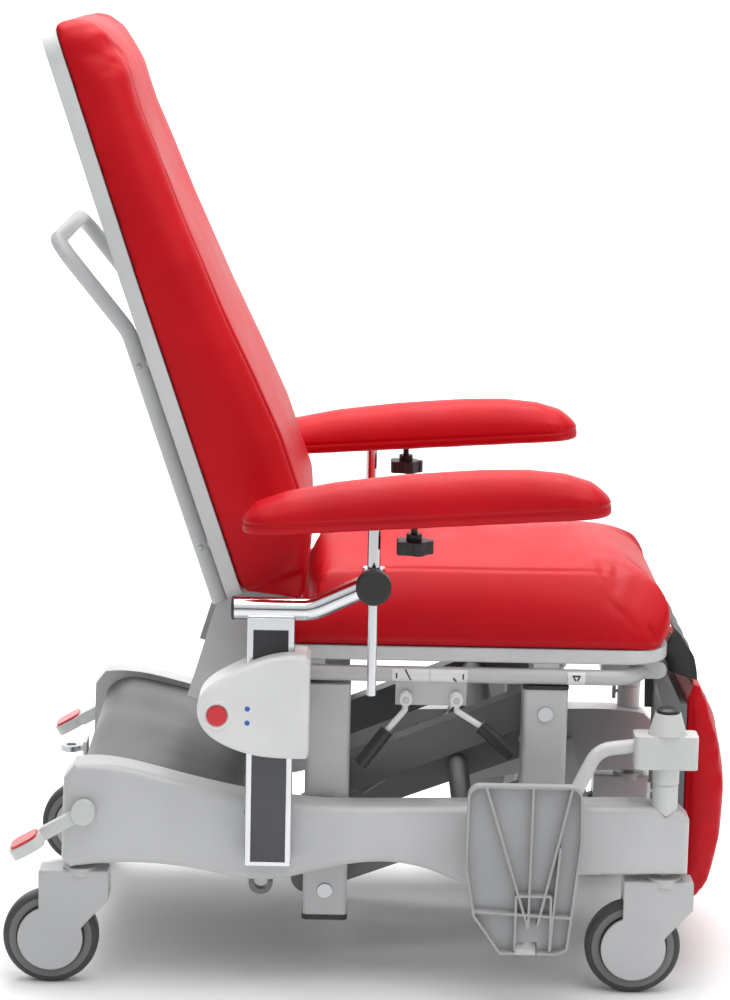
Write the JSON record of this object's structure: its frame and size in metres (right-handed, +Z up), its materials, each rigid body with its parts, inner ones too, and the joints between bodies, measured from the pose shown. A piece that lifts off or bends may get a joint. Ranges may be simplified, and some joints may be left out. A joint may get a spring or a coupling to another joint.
{
  "type": "patient recliner chair",
  "caption": "Height-adjustable patient recliner on swivel casters, with a reclining back, a rising leg rest, adjustable armrests and folding footrests.",
  "frame": {"origin": "on the floor, below the middle of the chair's bounding box", "axes": "+X towards the leg side, +Y to the occupant's left, +Z up"},
  "size_m": [1.134, 0.836, 1.4992],
  "materials": {
    "painted_grey": "light grey powder coat, satin",
    "arm_grey": "mid grey powder coat, satin",
    "cover_grey": "dark grey moulded plastic",
    "moulded_white": "pale grey-white moulded plastic",
    "caster_plastic": "pale grey nylon housing",
    "hub_plastic": "grey nylon wheel centre",
    "tyre_grey": "dark grey non-marking tread",
    "vinyl_red": "red coated upholstery fabric",
    "vinyl_charcoal": "charcoal coated fabric",
    "chrome": "polished chrome plate",
    "steel": "zinc plated steel",
    "black_plastic": "black moulded plastic",
    "red_plastic": "red moulded plastic",
    "shell_grey": "light grey moulded shell"
  },
  "bodies": {
    "base": {"base_rail_right": "painted_grey", "base_rail_left": "painted_grey", "base_crossmembers": "arm_grey", "rear_cover": "cover_grey", "rear_lift_columns": "painted_grey", "column_foot_caps": "black_plastic", "rear_pivot_pins": "steel", "tie_ring": "steel", "footrest_sockets": "shell_grey"},
    "caster_rear_right": {"caster_fork_rear_right": "caster_plastic"},
    "wheel_rear_right": {"caster_tyre_rear_right": "tyre_grey", "caster_hub_rear_right": "hub_plastic"},
    "caster_front_right": {"caster_fork_front_right": "caster_plastic"},
    "wheel_front_right": {"caster_tyre_front_right": "tyre_grey", "caster_hub_front_right": "hub_plastic"},
    "caster_rear_left": {"caster_fork_rear_left": "caster_plastic"},
    "wheel_rear_left": {"caster_tyre_rear_left": "tyre_grey", "caster_hub_rear_left": "hub_plastic"},
    "caster_front_left": {"caster_fork_front_left": "caster_plastic"},
    "wheel_front_left": {"caster_tyre_front_left": "tyre_grey", "caster_hub_front_left": "hub_plastic"},
    "brake": {"brake_shaft": "shell_grey", "brake_pedal_treads": "red_plastic"},
    "upper_arms": {"upper_lift_arms": "arm_grey"},
    "lower_arms": {"lower_lift_arms": "arm_grey"},
    "seat": {"seat_frame": "painted_grey", "front_lift_columns": "painted_grey", "column_top_caps": "black_plastic", "front_pivot_pins": "steel", "seat_shell": "shell_grey", "seat_cushion": "vinyl_red", "knee_guard": "vinyl_charcoal", "armrest_guide_right": "moulded_white", "armrest_guide_left": "moulded_white"},
    "lift_barrel": {"lift_cylinder_barrel": "arm_grey"},
    "lift_rod": {"lift_cylinder_rod": "steel"},
    "back": {"back_shell": "shell_grey", "back_cushion": "vinyl_red", "push_handle": "painted_grey", "back_brackets": "painted_grey"},
    "leg_rest": {"leg_panel": "arm_grey", "leg_cushion": "vinyl_red"},
    "armrest_right": {"armrest_column_right": "chrome"},
    "post_right": {"armrest_post_right": "chrome"},
    "pad_right": {"armrest_pad_right": "vinyl_red"},
    "clamp_knob_right": {"clamp_knob_right": "black_plastic"},
    "pad_knob_right": {"pad_knob_right": "black_plastic"},
    "button_right": {"release_button_right": "red_plastic"},
    "footrest_right": {"footrest_arm_right": "shell_grey"},
    "footplate_right": {"footplate_right": "shell_grey"},
    "armrest_left": {"armrest_column_left": "chrome"},
    "post_left": {"armrest_post_left": "chrome"},
    "pad_left": {"armrest_pad_left": "vinyl_red"},
    "clamp_knob_left": {"clamp_knob_left": "black_plastic"},
    "pad_knob_left": {"pad_knob_left": "black_plastic"},
    "button_left": {"release_button_left": "red_plastic"},
    "footrest_left": {"footrest_arm_left": "shell_grey"},
    "footplate_left": {"footplate_left": "shell_grey"},
    "back_lever": {"back_lever": "black_plastic"},
    "leg_lever": {"leg_lever": "black_plastic"}
  },
  "joints": [
    {"name": "caster_swivel_rear_right", "type": "hinge", "parent": "base", "child": "caster_rear_right", "pos_m": [-0.447, -0.31, 0.22], "axis": [0, 0, 1], "continuous": true},
    {"name": "wheel_roll_rear_right", "type": "hinge", "parent": "caster_rear_right", "child": "wheel_rear_right", "pos_m": [-0.492, -0.31, 0.075], "axis": [0, 1, 0], "continuous": true},
    {"name": "caster_swivel_front_right", "type": "hinge", "parent": "base", "child": "caster_front_right", "pos_m": [0.467, -0.31, 0.22], "axis": [0, 0, 1], "continuous": true},
    {"name": "wheel_roll_front_right", "type": "hinge", "parent": "caster_front_right", "child": "wheel_front_right", "pos_m": [0.422, -0.31, 0.075], "axis": [0, 1, 0], "continuous": true},
    {"name": "caster_swivel_rear_left", "type": "hinge", "parent": "base", "child": "caster_rear_left", "pos_m": [-0.447, 0.31, 0.22], "axis": [0, 0, 1], "continuous": true},
    {"name": "wheel_roll_rear_left", "type": "hinge", "parent": "caster_rear_left", "child": "wheel_rear_left", "pos_m": [-0.492, 0.31, 0.075], "axis": [0, 1, 0], "continuous": true},
    {"name": "caster_swivel_front_left", "type": "hinge", "parent": "base", "child": "caster_front_left", "pos_m": [0.467, 0.31, 0.22], "axis": [0, 0, 1], "continuous": true},
    {"name": "wheel_roll_front_left", "type": "hinge", "parent": "caster_front_left", "child": "wheel_front_left", "pos_m": [0.422, 0.31, 0.075], "axis": [0, 1, 0], "continuous": true},
    {"name": "brake_pedal", "type": "hinge", "parent": "base", "child": "brake", "pos_m": [-0.4395, 0, 0.286], "axis": [0, -1, 0], "range_deg": [-18, 18]},
    {"name": "lift_arm", "type": "hinge", "parent": "base", "child": "upper_arms", "pos_m": [-0.0635, 0, 0.298], "axis": [0, -1, 0], "range_deg": [0, 30.5]},
    {"name": "lower_lift_arm", "type": "hinge", "parent": "base", "child": "lower_arms", "pos_m": [-0.0635, 0, 0.143], "axis": [0, -1, 0], "range_deg": [0, 30.5]},
    {"name": "seat_level", "type": "hinge", "parent": "upper_arms", "child": "seat", "pos_m": [0.2763, 0, 0.43667], "axis": [0, -1, 0], "range_deg": [-30.5, 0]},
    {"name": "lift_cylinder_tilt", "type": "hinge", "parent": "base", "child": "lift_barrel", "pos_m": [-0.04, 0, 0.23], "axis": [0, -1, 0], "range_deg": [0, 26.48]},
    {"name": "lift_cylinder_stroke", "type": "slide", "parent": "lift_barrel", "child": "lift_rod", "axis": [0.8152, 0, 0.5792], "range_m": [0, 0.03375]},
    {"name": "back_recline", "type": "hinge", "parent": "seat", "child": "back", "pos_m": [-0.155, 0, 0.5], "axis": [0, -1, 0], "range_deg": [0, 65]},
    {"name": "leg_raise", "type": "hinge", "parent": "seat", "child": "leg_rest", "pos_m": [0.455, 0, 0.499], "axis": [0, -1, 0], "range_deg": [0, 80]},
    {"name": "armrest_height_right", "type": "slide", "parent": "seat", "child": "armrest_right", "axis": [0, 0, 1], "range_m": [-0.04, 0.12]},
    {"name": "post_height_right", "type": "slide", "parent": "armrest_right", "child": "post_right", "axis": [0, 0, 1], "range_m": [0, 0.12]},
    {"name": "pad_swivel_right", "type": "hinge", "parent": "post_right", "child": "pad_right", "pos_m": [0.002, -0.362, 0.76], "axis": [0, 0, 1], "range_deg": [-8, 35]},
    {"name": "clamp_knob_turn_right", "type": "hinge", "parent": "armrest_right", "child": "clamp_knob_right", "pos_m": [0.002, -0.395, 0.66], "axis": [0, 1, 0], "range_deg": [-180, 180]},
    {"name": "pad_knob_turn_right", "type": "hinge", "parent": "pad_right", "child": "pad_knob_right", "pos_m": [0.062, -0.362, 0.72], "axis": [0, 0, 1], "range_deg": [-180, 180]},
    {"name": "release_button_right", "type": "slide", "parent": "seat", "child": "button_right", "axis": [0, 1, 0], "range_m": [0, 0.005], "stiffness_N_per_m": 600},
    {"name": "footrest_swing_right", "type": "hinge", "parent": "base", "child": "footrest_right", "pos_m": [0.4635, -0.32, 0.4], "axis": [0, 0, 1], "range_deg": [0, 165]},
    {"name": "footplate_fold_right", "type": "hinge", "parent": "footrest_right", "child": "footplate_right", "pos_m": [0.249, -0.378, 0.09], "axis": [1, 0, 0], "range_deg": [0, 90]},
    {"name": "armrest_height_left", "type": "slide", "parent": "seat", "child": "armrest_left", "axis": [0, 0, 1], "range_m": [-0.04, 0.12]},
    {"name": "post_height_left", "type": "slide", "parent": "armrest_left", "child": "post_left", "axis": [0, 0, 1], "range_m": [0, 0.12]},
    {"name": "pad_swivel_left", "type": "hinge", "parent": "post_left", "child": "pad_left", "pos_m": [0.002, 0.362, 0.76], "axis": [0, 0, -1], "range_deg": [-8, 35]},
    {"name": "clamp_knob_turn_left", "type": "hinge", "parent": "armrest_left", "child": "clamp_knob_left", "pos_m": [0.002, 0.395, 0.66], "axis": [0, 1, 0], "range_deg": [-180, 180]},
    {"name": "pad_knob_turn_left", "type": "hinge", "parent": "pad_left", "child": "pad_knob_left", "pos_m": [0.062, 0.362, 0.72], "axis": [0, 0, 1], "range_deg": [-180, 180]},
    {"name": "release_button_left", "type": "slide", "parent": "seat", "child": "button_left", "axis": [0, -1, 0], "range_m": [0, 0.005], "stiffness_N_per_m": 600},
    {"name": "footrest_swing_left", "type": "hinge", "parent": "base", "child": "footrest_left", "pos_m": [0.4635, 0.32, 0.4], "axis": [0, 0, -1], "range_deg": [0, 165]},
    {"name": "footplate_fold_left", "type": "hinge", "parent": "footrest_left", "child": "footplate_left", "pos_m": [0.249, 0.378, 0.09], "axis": [-1, 0, 0], "range_deg": [0, 90]},
    {"name": "back_lever_pull", "type": "hinge", "parent": "seat", "child": "back_lever", "pos_m": [0.057, -0.29, 0.461], "axis": [0, 1, 0], "range_deg": [0, 15], "stiffness_Nm_per_rad": 4},
    {"name": "leg_lever_pull", "type": "hinge", "parent": "seat", "child": "leg_lever", "pos_m": [0.136, -0.29, 0.461], "axis": [0, -1, 0], "range_deg": [0, 15], "stiffness_Nm_per_rad": 4}
  ],
  "couplings": [
    {"joint": "lower_lift_arm", "follows": "lift_arm", "ratio": 1},
    {"joint": "seat_level", "follows": "lift_arm", "ratio": -1},
    {"joint": "lift_cylinder_tilt", "follows": "lift_arm", "ratio": 0.8682},
    {"joint": "lift_cylinder_stroke", "follows": "lift_arm", "m_per_rad": 0.0634}
  ]
}
